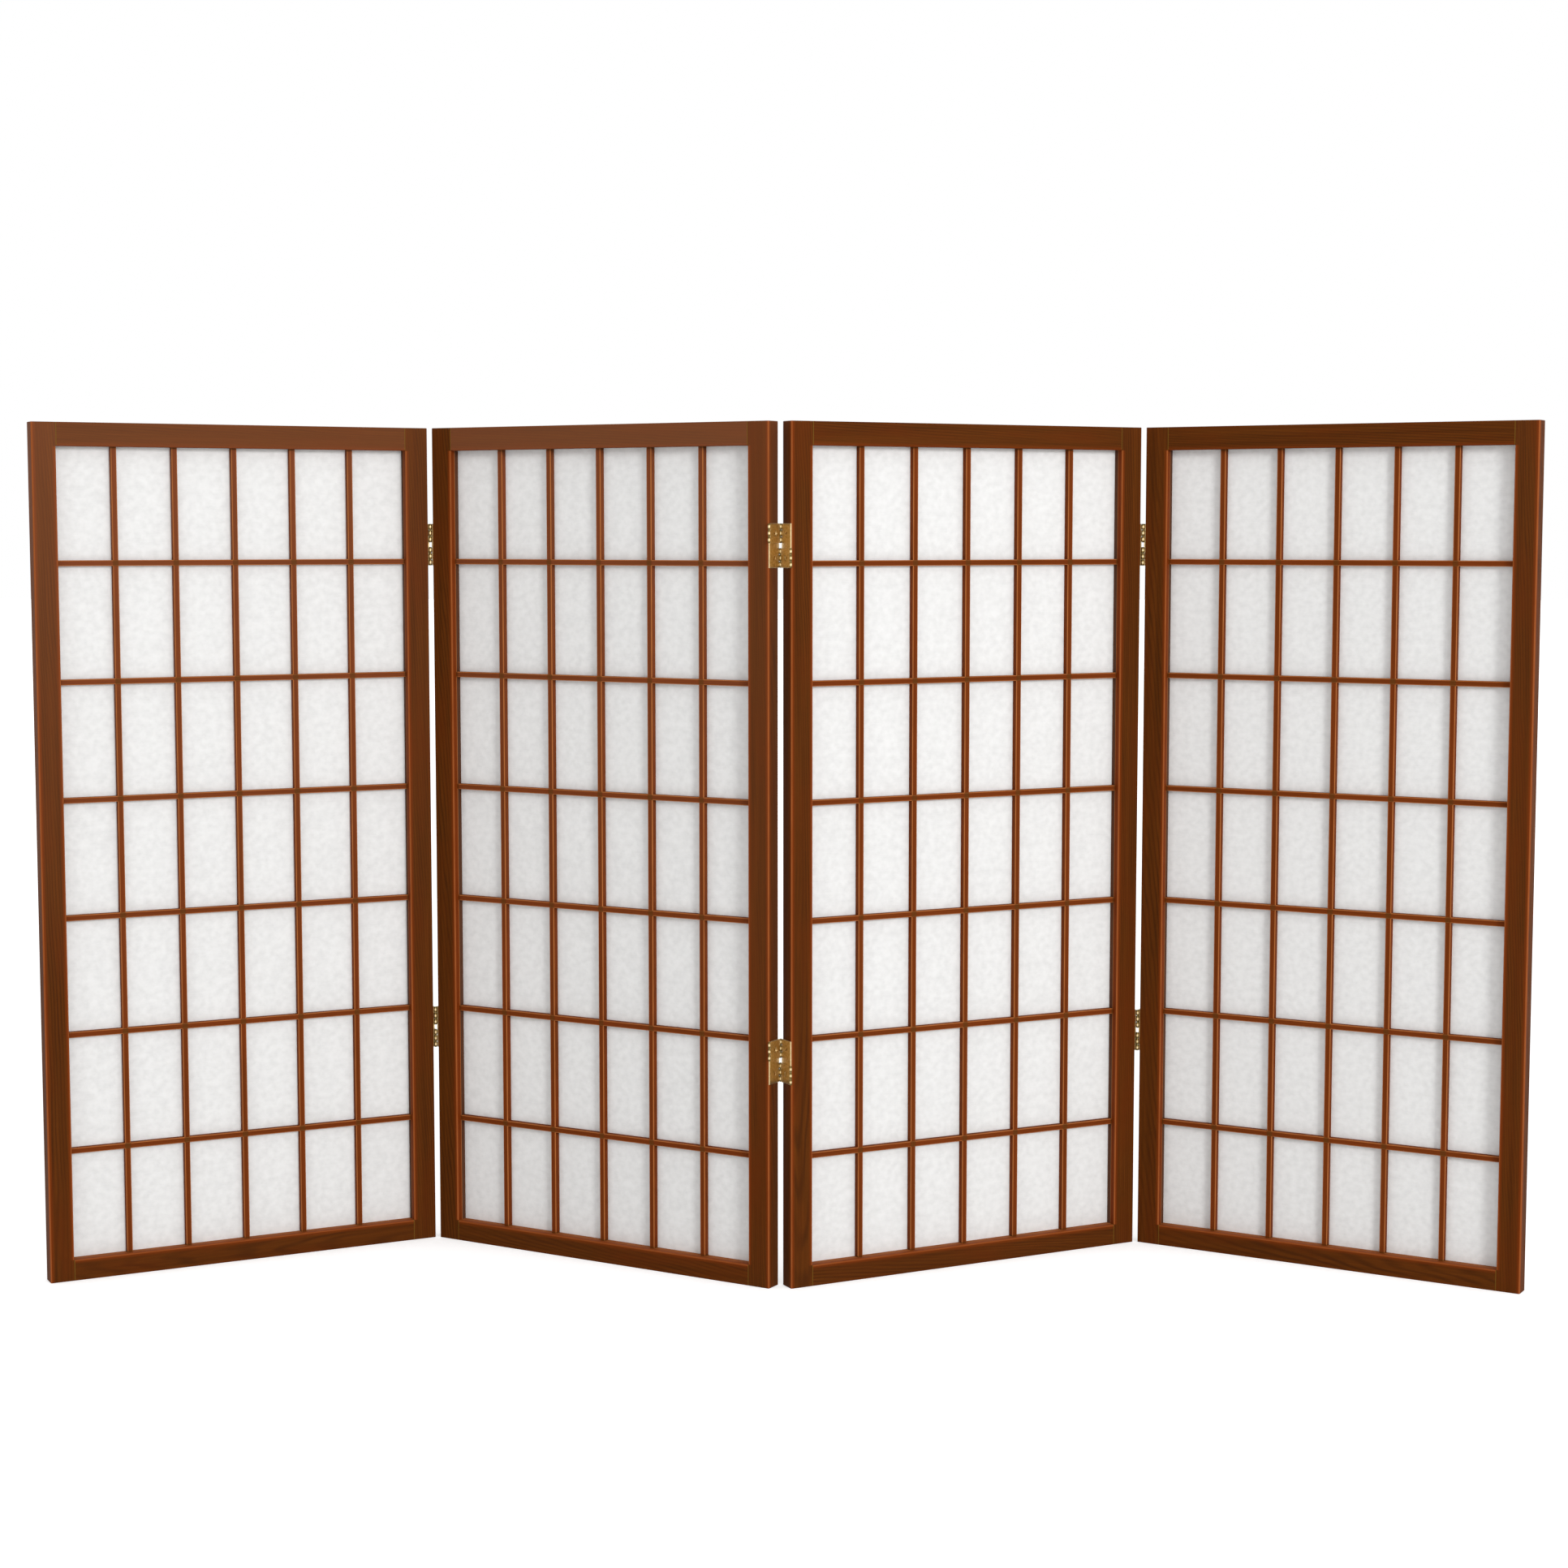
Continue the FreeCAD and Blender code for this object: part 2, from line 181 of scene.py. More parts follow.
# A profile carried along a straight length. Each ring is a place along the length, an inset that draws
# the outline in along its normals, a slant that moves the ring on by so much for each unit across,
# and its glue mark. A notch holds the outline's depth back behind, or in front of, its floor. The rings
# marked in isOther take a second outline with as many points.
def carried(outline, rings, notches=None, other=None, isOther=None):
    rings = np.array(rings, float)
    place, inset, slant, glue = rings.T
    used = [other if isOther is not None and isOther[n] else outline for n in range(len(rings))]
    points, normals, wearAndLight = (np.stack([one[key] for one in used]) for key in ("points", "normals", "wearAndLight"))
    a = points[..., 0] - inset[:, None] * normals[..., 0]
    b = points[..., 1] - inset[:, None] * normals[..., 1]
    t = place[:, None] + slant[:, None] * points[..., 0]
    if notches is not None:
        floor, side = notches
        b = np.where(np.isnan(floor)[:, None], b, side * np.maximum(side * b, side * floor[:, None]))
    rows, columns = a.shape
    index = np.arange(rows * columns).reshape(rows, columns)
    following = np.roll(index, -1, axis=1)
    quads = np.stack([index[:-1], following[:-1], following[1:], index[1:]], axis=-1).reshape(-1, 4)
    faces = quads.tolist() + [index[0].tolist(), index[-1].tolist()]
    return {"a": a.ravel(), "b": b.ravel(), "t": t.ravel(), "faces": faces, "wearAndLight": wearAndLight.ravel(),
            "glue": np.repeat(glue, columns)}


unpaled = (0.0, 0.0)


# A carried profile as wood in a panel. Upright sticks have their profile in u and d, and level sticks
# in z and d. The grain's own coordinates are along the stick, across it and into it, from the heart of
# the tree. Each stick is cut from another place in it. A pale grey veil, partly painted sheen and partly how the
# stick took the stain, goes in a straight line with the height, from the first of its tones at the foot to the
# second at the head.
def stick(panel, shape, upright, cut, tones=unpaled):
    a, b, t = shape["a"], shape["b"], shape["t"]
    u, z = (a, t) if upright else (t, a)
    tone = tones[0] + (tones[1] - tones[0]) * z / size["height"]
    return {"points": outOfPanel(panel, u, b, z), "faces": shape["faces"], "wearAndLight": shape["wearAndLight"],
            "glue": shape["glue"], "grain": np.column_stack([t, a, b]) + cut, "tone": tone}


treeShape = {"nearHeart": 20 * mm, "farHeart": 60 * mm, "aside": 40 * mm, "along": 800 * mm}


# where in the tree a stick is cut: how far along, and how far to the side and in front of or behind its heart
def newCut():
    t = treeShape
    away = rng.choice([-1, 1]) * rng.uniform(t["nearHeart"], t["farHeart"])
    return np.array([rng.uniform(-t["along"], t["along"]), rng.uniform(-t["aside"], t["aside"]), away])


# The faces of a slab: a grid of points, a second grid behind it, and the wall round both
def slabFaces(rows, columns):
    count = rows * columns
    index = np.arange(count).reshape(rows, columns)
    front = np.stack([index[:-1, :-1], index[1:, :-1], index[1:, 1:], index[:-1, 1:]], -1).reshape(-1, 4)
    rim = np.concatenate([index[:, 0], index[-1, 1:], index[-2::-1, -1], index[0, -2:0:-1]])
    after = np.roll(rim, -1)
    wall = np.stack([rim, after, after + count, rim + count], -1)
    return np.vstack([front, front[:, ::-1] + count, wall]).tolist()


# a mesh, a lamp or a camera as an object in the scene
def newObject(name, data):
    thing = bpy.data.objects.new(name, data)
    bpy.context.scene.collection.objects.link(thing)
    return thing


# One mesh from several closed shells, without edges of no length and with the faces turned outwards
def joinShells(name, shells, sharpAngle, noLength=1e-7):
    points = np.vstack([shell["points"] for shell in shells])
    faces, start = [], 0
    for shell in shells:
        faces += [[corner + start for corner in face] for face in shell["faces"]]
        start += len(shell["points"])
    mesh = bpy.data.meshes.new(name)
    mesh.from_pydata(points.tolist(), [], faces)
    for key, kind in (("wearAndLight", "FLOAT"), ("glue", "FLOAT"), ("tone", "FLOAT"), ("grain", "FLOAT_VECTOR")):
        if key in shells[0]:
            values = np.concatenate([np.asarray(shell[key], float) for shell in shells])
            layer = mesh.attributes.new(key, kind, "POINT")
            layer.data.foreach_set("vector" if kind == "FLOAT_VECTOR" else "value", values.ravel())
    work = bmesh.new()
    work.from_mesh(mesh)
    bmesh.ops.dissolve_degenerate(work, dist=noLength, edges=work.edges)
    bmesh.ops.recalc_face_normals(work, faces=work.faces)
    work.to_mesh(mesh)
    work.free()
    mesh.shade_smooth()
    mesh.set_sharp_from_angle(angle=math.radians(sharpAngle))
    return newObject(name, mesh)


# a piece made of shells takes its node's place, moves with its body, and wears the finish it is given
def standIn(node, body, shells, material, sharpAngle=32):
    piece = joinShells(node.replace("panel_", "screen").replace("hinge_", "fold"), shells, sharpAngle)
    piece.data.materials.append(material)
    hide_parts(node)
    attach(piece, body)
    return piece


# Materials

# an sRGB hex colour as linear red, green, blue and alpha
def colour(code):
    values = [int(code[i:i + 2], 16) / 255 for i in (1, 3, 5)]
    return tuple(v / 12.92 if v <= 0.04045 else ((v + 0.055) / 1.055) ** 2.4 for v in values) + (1.0,)


# adds a node, sets its own settings and its inputs by name or number, and links where given a socket
def add(tree, kind, inputs=None, **settings):
    node = tree.nodes.new("ShaderNode" + kind)
    for key, value in settings.items():
        setattr(node, key, value)
    for key, value in (inputs or {}).items():
        if isinstance(value, bpy.types.NodeSocket):
            tree.links.new(value, node.inputs[key])
        else:
            node.inputs[key].default_value = value
    return node


# an empty material and its tree of nodes
def newMaterial(name):
    material = bpy.data.materials.new(name)
    material.use_nodes = True
    material.node_tree.nodes.clear()
    return material, material.node_tree


# noises drawn out along the grain, each with its scale, detail and distortion
woodNoises = {
    "bands": ((4, 200, 90), 3.0, 0.4),        # early and late wood, 5 mm apart
    "streaks": ((5, 60, 60), 2.0, 0.0),       # the rings show more in some places than in others
    "fibres": ((14, 1400, 900), 2.0, 0.0),    # 0.7 mm apart, as coarse as they need to be to show
    "pores": ((110, 2400, 1600), 1.0, 0.0),   # short dark ones, 9 mm long and 0.4 mm wide
    "clouds": ((9, 40, 40), 2.0, 0.0),        # the stain lies unevenly over lengths of 10 cm
    # the painted highlight at an arris comes and goes with this rub too
    "rub": ((30, 60, 60), 3.0, 0.0),          # the rub at an arris comes and goes
}
# the tree's heart leans 1 in 18 from the stick, and its rings waver over some 10 cm of its length
ringLean = {"Scale": (0.12, 1, 1), "Rotation": (0, 0.4, 0.44)}
ringWaver = {"Distortion": 7.0, "Detail": 2.0, "Detail Scale": 0.5, "Detail Roughness": 0.5}
# The layers of a wood in their order, each with the masks that lay it on. A mask's numbers are its values
# for none and for all of the layer, and the least that it lets through.
woodLayers = {
    "early": [("bands", 0.32, 0.68, 0.0)],
    "ring": [("rings", 0.35, 1.0, 0.0), ("streaks", 0.35, 0.65, 0.25)],
    "fibre": [("fibres", 0.35, 0.7, 0.0)],
    "cloud": [("clouds", 0.45, 0.75, 0.0)],
    "pore": [("pores", 0.42, 0.3, 0.0)],
    "fringe": [("wearAndLight", 0.0, 0.55, 0.0)],
    "paleStainAndSheen": [("tone", 0.0, 1.0, 0.0)],
    "arris": [("wearAndLight", 0.6, 0.98, 0.0), ("rub", 0.25, 0.6, 0.65)],
    "glue": [("glue", 0.0, 1.0, 0.0)],
}


# Softwood stained red-brown under a thin satin lacquer. The eye gets a dark brown with the rings of the
# tree drawn out into long arcs, redder beside the arrises, and a thin bright line at an arris, a painted highlight
# along with lacquer rubbed through there. A trace of glue at the joints has kept the stain out and looks olive.
def stainedWood(name, look):
    material, tree = newMaterial(name)
    masks = {}
    for key in ("wearAndLight", "glue", "tone"):
        masks[key] = add(tree, "Attribute", attribute_name=key).outputs["Fac"]
    grain = add(tree, "Attribute", attribute_name="grain").outputs["Vector"]
    for key, (scale, detail, distortion) in woodNoises.items():
        drawn = add(tree, "Mapping", {"Vector": grain, "Scale": scale}).outputs[0]
        masks[key] = add(tree, "TexNoise", {"Vector": drawn, "Scale": 1.0, "Detail": detail,
                                            "Distortion": distortion}).outputs["Fac"]
    # yearly rings, 2.6 mm apart in the frame and 1.7 mm in the lattice
    lean = add(tree, "Mapping", {"Vector": grain, **ringLean}).outputs[0]
    masks["rings"] = add(tree, "TexWave", {"Vector": lean, "Scale": look["ringScale"], **ringWaver},
                         wave_type="RINGS", rings_direction="X", wave_profile="SIN").outputs["Fac"]

    body = colour(look["base"])
    for layer, parts in woodLayers.items():
        shade, factor = look[layer]
        for key, none, full, least in parts:
            part = add(tree, "MapRange", {"Value": masks[key], "From Min": none, "From Max": full,
                                          "To Min": least}).outputs[0]
            factor = add(tree, "Math", {0: part, 1: factor}, operation="MULTIPLY").outputs[0]
        body = add(tree, "Mix", {"Factor": factor, "A": body, "B": colour(shade)},
                   data_type="RGBA").outputs["Result"]

    smooth, rough = look["rough"]
    sheen = add(tree, "MapRange", {"Value": masks["fibres"], "From Min": 0.3, "From Max": 0.7,
                                   "To Min": smooth, "To Max": rough}).outputs[0]
    key, none, full, _ = woodLayers["pore"][0]
    pits = add(tree, "MapRange", {"Value": masks[key], "From Min": none, "From Max": full}).outputs[0]
    relief = add(tree, "Math", {0: masks["fibres"], 1: pits}, operation="SUBTRACT").outputs[0]
    bump = add(tree, "Bump", {"Height": relief, "Strength": 0.3, "Distance": 0.08 * mm}).outputs[0]
    shader = add(tree, "BsdfPrincipled", {"Base Color": body, "Roughness": sheen, "Normal": bump,
                                          "IOR": 1.5, "Specular IOR Level": look["specular"]})
    add(tree, "OutputMaterial", {"Surface": shader.outputs[0]})
    return material


# a layer's colour and how strongly it is laid on
# each look's arris colour is a painted highlight along with lacquer rubbed through at the arris
frameLook = {"base": "#552907", "early": ("#65330B", 1.0), "ring": ("#3A1A06", 0.65),
             "fibre": ("#4A290A", 0.45), "cloud": ("#622A07", 0.6), "pore": ("#2E1606", 0.15),
             "fringe": ("#7E340B", 0.8), "paleStainAndSheen": ("#965F41", 0.5), "arris": ("#9A5428", 1.0),
             "glue": ("#75571E", 0.75), "ringScale": 121.0, "rough": (0.54, 0.68), "specular": 0.04}
latticeLook = {"base": "#6E310C", "early": ("#7A3810", 1.0), "ring": ("#4E2409", 0.3),
               "fibre": ("#602A0B", 0.4), "cloud": ("#80350F", 0.4), "pore": ("#3A1C08", 0.12),
               "fringe": ("#864320", 0.5), "paleStainAndSheen": ("#94644A", 0.5), "arris": ("#B06C3A", 1.0),
               "glue": ("#563612", 0.6), "ringScale": 190.0, "rough": (0.54, 0.68), "specular": 0.04}
# The border strips' inner faces lie deep beside the paper: their darker, greyer base is painted shade, with a
# painted sheen of grazing reflections in the grey.
borderLook = {**latticeLook, "base": "#503628", "early": ("#5C4030", 1.0), "cloud": ("#5A3A28", 0.4),
              "fringe": ("#884212", 0.9), "arris": ("#A8683A", 1.0)}
frameWood = stainedWood("stainedFrameWood", frameLook)
latticeWood = stainedWood("stainedLatticeWood", latticeLook)
borderWood = stainedWood("borderWoodPaintedShade", borderLook)


# Bleached kozo paper, a laminated sheet for screens. It gives a bright, even white with long faint
# fibres in it, a dry surface with no gloss, and a little light through from behind.
def kozoPaper(look):
    material, tree = newMaterial("kozoScreenPaper")
    place = add(tree, "Attribute", attribute_name="grain").outputs["Vector"]
    # fibres 0.3 mm wide and some 17 mm long, laid three ways and bent
    fibres = 0.0
    for turn in look["fibreTurns"]:
        laid = add(tree, "Mapping", {"Vector": place, "Rotation": (0, 0, turn),
                                     "Scale": look["fibreScale"]}).outputs[0]
        strand = add(tree, "TexNoise", {"Vector": laid, "Scale": 1.0, "Detail": 2.0,
                                        "Distortion": 0.6}).outputs["Fac"]
        mask = add(tree, "MapRange", {"Value": strand, "From Min": 0.58, "From Max": 0.8}).outputs[0]
        fibres = add(tree, "Math", {0: mask, 1: fibres}, operation="MAXIMUM").outputs[0]
    # the pulp is thicker and thinner in clouds of 7 mm
    clouds = add(tree, "TexNoise", {"Vector": place, "Scale": look["cloudScale"],
                                    "Detail": 4.0}).outputs["Fac"]
    cloudMask = add(tree, "MapRange", {"Value": clouds, "From Min": 0.3, "From Max": 0.7}).outputs[0]
    strength = add(tree, "Math", {0: fibres, 1: look["fibreStrength"]}, operation="MULTIPLY").outputs[0]
    body = colour(look["thin"])
    for shade, factor in (("thick", cloudMask), ("fibre", strength)):
        body = add(tree, "Mix", {"Factor": factor, "A": body, "B": colour(look[shade])},
                   data_type="RGBA").outputs["Result"]
    bump = add(tree, "Bump", {"Height": fibres, "Strength": 0.15, "Distance": 0.05 * mm}).outputs[0]
    face = add(tree, "BsdfPrincipled", {"Base Color": body, "Roughness": 0.9, "Normal": bump,
                                        "IOR": 1.5, "Specular IOR Level": 0.1})
    through = add(tree, "BsdfTranslucent", {"Color": body, "Normal": bump})
    both = add(tree, "MixShader", {0: look["through"], 1: face.outputs[0], 2: through.outputs[0]})
    add(tree, "OutputMaterial", {"Surface": both.outputs[0]})
    return material


paperLook = {"thin": "#F1F1F0", "thick": "#FCFCFB", "fibre": "#FEFEFE", "fibreStrength": 0.5, "through": 0.2,
             "fibreTurns": (0.35, 1.45, 2.6), "fibreScale": (60, 1500, 60), "cloudScale": 150.0}
screenPaper = kozoPaper(paperLook)


# a layer's mask values for none and for most of it, and how much that is
brassLayers = {"dull": (0.35, 0.7, 1.0), "recessShade": (0.25, 0.0, 1.0), "highlitAndRubbed": (0.4, 1.0, 0.8)}


# Yellow brass, rolled and polished, with a thin tarnish. It reflects the room in a soft warm gold, with
# fine lines along its length. Its edges and knuckles have painted highlights, along with some rubbing, and its
# joints and slots painted shade.
def yellowBrass(name, look):
    material, tree = newMaterial(name)
    place = add(tree, "TexCoord").outputs["Object"]
    tarnish = add(tree, "TexNoise", {"Vector": place, "Scale": 420.0, "Detail": 3.0}).outputs["Fac"]
    wearAndLight = add(tree, "Attribute", attribute_name="wearAndLight").outputs["Fac"]
    body = colour(look["bright"])
    for shade, (none, full, most) in brassLayers.items():
        mask = tarnish if shade == "dull" else wearAndLight
        factor = add(tree, "MapRange", {"Value": mask, "From Min": none, "From Max": full,
                                        "To Max": most}).outputs[0]
        body = add(tree, "Mix", {"Factor": factor, "A": body, "B": colour(look[shade])},
                   data_type="RGBA").outputs["Result"]
    # rolling and polishing lines 0.1 mm apart
    linePlace = add(tree, "Mapping", {"Vector": place, "Scale": (9000, 9000, 500)}).outputs[0]
    lines = add(tree, "TexNoise", {"Vector": linePlace, "Scale": 1.0, "Detail": 2.0}).outputs["Fac"]
    polished, rough = look["rough"]
    sheen = add(tree, "MapRange", {"Value": tarnish, "To Min": polished, "To Max": rough}).outputs[0]
    bump = add(tree, "Bump", {"Height": lines, "Strength": 0.2, "Distance": 0.02 * mm}).outputs[0]
    shader = add(tree, "BsdfPrincipled", {"Base Color": body, "Roughness": sheen, "Metallic": 1.0,
                                          "Normal": bump})
    add(tree, "OutputMaterial", {"Surface": shader.outputs[0]})
    return material


plateBrass = yellowBrass("rolledHingeBrass", {"bright": "#D4B988", "dull": "#B4965C", "recessShade": "#66552E",
                                             "highlitAndRubbed": "#E9DCB6", "rough": (0.28, 0.46)})
screwBrass = yellowBrass("turnedScrewBrass", {"bright": "#CEB083", "dull": "#A8864E", "recessShade": "#4E3C20",
                                              "highlitAndRubbed": "#EBD09A", "rough": (0.24, 0.42)})
print("materials made")


# The frame of each panel

frameShape = {"arris": 1.2 * mm, "outerArris": 0.6 * mm, "backArris": 0.35 * mm, "fade": 3.4 * mm,
              "glueLine": 0.5 * mm, "stop": 0.6 * mm, "closedArris": 0.6 * mm, "squareArris": 0.1 * mm,
              "seam": 0.05 * mm, "backFade": 0.4 * mm}
# how much wear and painted highlight each arris takes: most where it catches the key light, little where it is
# seen edge-on at the back folds and the rails' outer edges
frameWearAndLight = {"highlitAndRubbed": 1.0, "unhighlit": 0.12, "back": 0.3, "side": 0.5, "outer": 0.1,
             "topRail": (0.42, 0.5), "bottomRail": (0.85, 0.78)}
# how strong the pale grey veil, partly painted sheen and partly stain, is at the foot and at the head of a panel's
# side; below 0 is all dark
stainAndSheenTones = {"1left": (-0.3, 0.6), "1right": (-0.1, 0.22), "1top": (0.51, 0.51), "1bars": (-0.15, 0.42),
              "2right": (-0.05, 0.32), "2top": (0.71, 0.71), "2bars": (-0.15, 0.42), "4right": (0.0, 0.06)}


# An upright with its rebate at the back; the outer edge is at a = 0. Its arrises are eased after the frame
# is glued, so the inner one stays square where a rail meets it. The front outer one has a painted highlight at the
# screen's ends and at the forward fold, where it catches the key light, and little at the back folds. The lip's
# side is red all over.
def stileOutline(isHighlit, isFree, innerArris, innerWorn):
    s, f, w = frameShape, frameShape["fade"], frameWearAndLight
    rebate = size["rebateLeft"]
    outline = roundedOutline([
        (0, 0, s["arris"] if isHighlit else s["closedArris"], f, w["highlitAndRubbed"] if isHighlit else w["unhighlit"]),
        (size["stile"], 0, innerArris, f, innerWorn), (size["stile"], size["lip"], *sharp),
        (rebate, size["lip"], *sharp), (rebate, size["thickness"], s["backArris"], 0, 0),
        (0, size["thickness"], s["arris"] if isFree else s["backArris"], s["backFade"], w["back"])])
    isSide = np.isclose(outline["points"][:, 0], size["stile"])
    outline["wearAndLight"] = np.maximum(outline["wearAndLight"], w["side"] * isSide)
    return outline


# a stile from its eased foot to its eased head, with the square outline in its ends, beside the rails
def makeStile(panel, isLeft):
    s = frameShape
    n = panel["number"]
    fold = n - 1 if isLeft else n
    isHighlit, isFree = fold % 2 == 0, fold in (0, 4)
    eased = stileOutline(isHighlit, isFree, s["arris"], frameWearAndLight["highlitAndRubbed"])
    square = stileOutline(isHighlit, isFree, s["squareArris"], 0.0)
    foot, head = easedEnd(0.0, 1, s["outerArris"])[::-1], easedEnd(size["height"], -1, s["outerArris"])
    middle = [(size["bottom"] - s["seam"], *plain), (size["bottom"] + s["stop"], *plain),
              (size["top"] - s["stop"], *plain), (size["top"] + s["seam"], *plain)]
    isSquare = [True] * (len(foot) + 1) + [False, False] + [True] * (len(head) + 1)
    shape = carried(eased, np.vstack([foot, middle, head]), other=square, isOther=isSquare)
    if not isLeft:
        shape["a"] = size["width"] - shape["a"]
    side = "left" if isLeft else "right"
    shell = stick(panel, shape, True, newCut(), stainAndSheenTones.get(f"{n}{side}", unpaled))
    standIn(f"panel_{n}_{side}_stile", f"panel_{n}", [shell], frameWood)


# a rail is its lip between the stiles and, a rebate's width longer at each end, its body behind
def makeRail(panel, isTop):
    s, f = frameShape, frameShape["fade"]
    n = panel["number"]
    if isTop:
        inner, step, outer, side = size["top"], size["rebateTop"], size["height"], "top"
    else:
        inner, step, outer, side = size["bottom"], size["rebateBottom"], 0.0, "bottom"
    # the inner arris and the lip's inner side take wear and painted light: the bottom rail's face up and are
    # painted lighter, as lit from above, and the top rail's arris, facing down, gets no highlight
    arrisWearAndLight, sideWearAndLight = frameWearAndLight[f"{side}Rail"]
    outside = s["outerArris"], f, frameWearAndLight["outer"]
    lip = fourSided(outer, inner, 0, size["lip"], (outside, (s["arris"], f, arrisWearAndLight), sharp, sharp), 5)
    lip["wearAndLight"] = np.maximum(lip["wearAndLight"], sideWearAndLight * np.isclose(lip["points"][:, 0], inner))
    body = fourSided(outer, step, size["lip"], size["thickness"],
                     (sharp, sharp, (s["backArris"], 0, 0), outside), 5)
    cut, tones = newCut(), stainAndSheenTones.get(f"{n}{side}", unpaled)
    shells = []
    for outline, low, high in ((lip, size["stile"], size["width"] - size["stile"]),
                               (body, size["rebateLeft"], size["rebateRight"])):
        g = s["glueLine"]
        rings = [(low, *glued), (low + g, *glued), (low + 2 * g, *plain),
                 (high - 2 * g, *plain), (high - g, *glued), (high, *glued)]
        shells.append(stick(panel, carried(outline, rings), False, cut, tones))
    standIn(f"panel_{n}_{side}_rail", f"panel_{n}", shells, frameWood)


for n in panelNumbers:
    for flag in (True, False):
        makeStile(panels[n], flag)
        makeRail(panels[n], flag)
print("frames made")


# The lattice

latticeShape = {"arris": 0.7 * mm, "fade": 0.3 * mm, "lapMark": 0.12 * mm, "smear": 1.1 * mm,
                "sillLight": 0.78}
latticeEase = latticeShape["arris"], latticeShape["fade"], 1
beadShape = {"arris": 1.2 * mm, "fade": 0.3 * mm, "outerArris": 0.2 * mm}


# A bar lapped over or under the others. At each crossing two rings stand at one place, one with the
# whole outline and one with the outline's depth held at the lap's floor, so the walls of the notch are
# square. Where the bar runs unbroken in front, the crossing has a glue mark, and so has each end.
def lappedBar(panel, low, high, front, start, end, crossings, inFront):
    back = size["paperFront"]
    outline = fourSided(low, high, front, back, (latticeEase, latticeEase, sharp, sharp))
    middle, mark, smear = (front + back) / 2, latticeShape["lapMark"], latticeShape["smear"]
    crossed = glued if inFront else plain
    rings = [(start, *glued), (start + smear, *glued), (start + 2 * smear, *plain)]
    floors = [np.nan] * 3
    for a, b in crossings:
        rings += [(a - mark, *plain), (a, *crossed), (a, *crossed),
                  (b, *crossed), (b, *crossed), (b + mark, *plain)]
        floors += [np.nan, np.nan, middle, middle, np.nan, np.nan]
    rings += [(end - 2 * smear, *plain), (end - smear, *glued), (end, *glued)]
    floors += [np.nan] * 3
    side = -1 if inFront else 1
    shape = carried(outline, rings, (np.array(floors), side))
    tones = stainAndSheenTones.get(f"{panel['number']}bars", unpaled)
    return stick(panel, shape, not inFront, newCut(), tones)


# the bars run from stile to stile and from rail to rail, and each takes the others as its crossings
def makeBars(panel):
    n = panel["number"]
    left, right = size["stile"], size["width"] - size["stile"]
    uprights = [lappedBar(panel, low, high, size["lip"], size["bottom"], size["top"], size["levels"], False)
                for low, high in size["uprights"]]
    levels = [lappedBar(panel, low, high, size["lip"], left, right, size["uprights"], True)
              for low, high in size["levels"]]
    for shells, kind in ((uprights, "vertical"), (levels, "horizontal")):
        standIn(f"panel_{n}_{kind}_bars", f"panel_{n}", shells, latticeWood)


# four strips that line the rebate: the side strips run through, and head and sill stand between them
def makeBorder(panel):
    n = panel["number"]
    front, back = size["lip"], size["paperFront"]
    left, right = size["stile"], size["width"] - size["stile"]
    strips = []
    for inner, outer, start, end, upright in (
            (left, size["rebateLeft"], size["rebateBottom"], size["rebateTop"], True),
            (right, size["rebateRight"], size["rebateBottom"], size["rebateTop"], True),
            (size["top"], size["rebateTop"], left, right, False),
            (size["bottom"], size["rebateBottom"], left, right, False)):
        outline = fourSided(outer, inner, front, back, (sharp, latticeEase, sharp, sharp))
        shape = carried(outline, [(start, *plain), (end, *plain)])
        if inner == size["bottom"]:        # the sill faces up and is painted lighter and redder, as lit from above
            shape["wearAndLight"] = np.maximum(shape["wearAndLight"], latticeShape["sillLight"])
        strips.append(stick(panel, shape, upright, newCut()))
    standIn(f"panel_{n}_lattice_border", f"panel_{n}", strips, borderWood)


# four beads with mitred ends: a ring at an end slants by as much as it stands out from the rebate
def makeBeads(panel):
    n, b = panel["number"], beadShape
    width = size["stile"] - size["rebateLeft"]
    uLow, uHigh, zLow, zHigh = (size[k] for k in ("rebateLeft", "rebateRight", "rebateBottom", "rebateTop"))
    beads = []
    outline = fourSided(0, width, size["paperBack"], size["beadBack"],
                        (sharp, sharp, (b["arris"], b["fade"], 1), (b["outerArris"], 0, 0)))
    for outer, inward, start, end, upright in (
            (uLow, 1, zLow, zHigh, True), (uHigh, -1, zLow, zHigh, True),
            (zLow, 1, uLow, uHigh, False), (zHigh, -1, uLow, uHigh, False)):
        shape = carried(outline, [(start, 0, 1, 0), (end, 0, -1, 0)])
        shape["a"] = outer + inward * shape["a"]
        beads.append(stick(panel, shape, upright, newCut()))
    standIn(f"panel_{n}_back_beads", f"panel_{n}", beads, latticeWood)


for n in panelNumbers:
    makeBars(panels[n])
    makeBorder(panels[n])
    makeBeads(panels[n])
print("lattices made")


# The paper

# a cell bows by a share of the bow, and forwards where that is below 0
paperShape = {"cellSteps": 10, "bow": 0.22 * mm, "leastShare": -0.4, "mostShare": 1.0}


